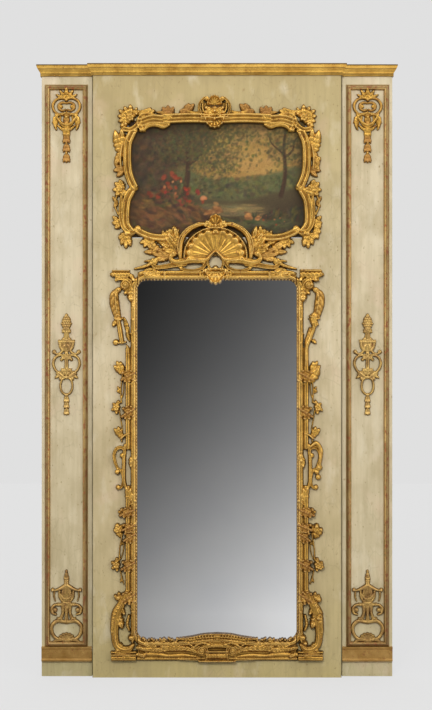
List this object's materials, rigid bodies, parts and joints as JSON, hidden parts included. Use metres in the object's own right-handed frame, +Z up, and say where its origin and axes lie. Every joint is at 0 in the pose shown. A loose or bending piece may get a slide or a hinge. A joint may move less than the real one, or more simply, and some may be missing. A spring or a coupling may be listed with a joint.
{
  "type": "trumeau mirror",
  "caption": "Tall painted and gilded wall panel with a large mirror plate, a framed canvas above it, carved crest, side pilaster panels and a cornice.",
  "frame": {"origin": "on the wall plane (the back faces of the battens), at the foot of the panel, on the centre line between the pilaster panels", "axes": "+Z up; -Y is the front that the viewer sees, +Y points into the wall; +X is the viewer's right"},
  "size_m": [1.448, 0.108, 2.454],
  "materials": {
    "painted_pine": "aged distemper and oil paint, matt",
    "raw_pine": "bare sawn pine, darkened with age",
    "gilt_wood": "water-gilt over red bole, worn",
    "mirror_plate": "silvered plate glass",
    "painted_canvas": "oil paint on linen",
    "forged_iron": "forged, dark"
  },
  "bodies": {
    "root": {"back_batten_bottom": "raw_pine", "back_batten_lower": "raw_pine", "back_batten_top": "raw_pine", "back_batten_upper": "raw_pine", "canvas_tacks": "forged_iron", "centre_rail_bottom": "painted_pine", "centre_rail_middle": "painted_pine", "centre_rail_top": "painted_pine", "centre_stile_left": "painted_pine", "centre_stile_right": "painted_pine", "cornice_centre": "gilt_wood", "cornice_left": "gilt_wood", "cornice_returns": "gilt_wood", "cornice_right": "gilt_wood", "glazing_blocks": "raw_pine", "hanging_plates": "forged_iron", "mirror_apron": "gilt_wood", "mirror_backboards": "raw_pine", "mirror_carving_left": "gilt_wood", "mirror_carving_right": "gilt_wood", "mirror_crest": "gilt_wood", "mirror_frame_bottom": "gilt_wood", "mirror_frame_left": "gilt_wood", "mirror_frame_right": "gilt_wood", "mirror_frame_top": "gilt_wood", "mirror_glass": "mirror_plate", "packing_stile_left": "raw_pine", "packing_stile_right": "raw_pine", "painting_canvas": "painted_canvas", "painting_cartouche": "gilt_wood", "painting_frame_bottom": "gilt_wood", "painting_frame_left": "gilt_wood", "painting_frame_right": "gilt_wood", "painting_frame_top": "gilt_wood", "pilaster_left_bottom_rail": "painted_pine", "pilaster_left_field": "painted_pine", "pilaster_left_inner_stile": "painted_pine", "pilaster_left_lower_ornament": "gilt_wood", "pilaster_left_middle_ornament": "gilt_wood", "pilaster_left_moulding": "gilt_wood", "pilaster_left_outer_stile": "painted_pine", "pilaster_left_top_rail": "painted_pine", "pilaster_left_upper_ornament": "gilt_wood", "pilaster_right_bottom_rail": "painted_pine", "pilaster_right_field": "painted_pine", "pilaster_right_inner_stile": "painted_pine", "pilaster_right_lower_ornament": "gilt_wood", "pilaster_right_middle_ornament": "gilt_wood", "pilaster_right_moulding": "gilt_wood", "pilaster_right_outer_stile": "painted_pine", "pilaster_right_top_rail": "painted_pine", "pilaster_right_upper_ornament": "gilt_wood", "plinth_band_left": "gilt_wood", "plinth_band_right": "gilt_wood", "screws": "forged_iron", "stretcher_bar_bottom": "raw_pine", "stretcher_bar_left": "raw_pine", "stretcher_bar_right": "raw_pine", "stretcher_bar_top": "raw_pine", "stretcher_keys": "raw_pine"}
  },
  "joints": []
}
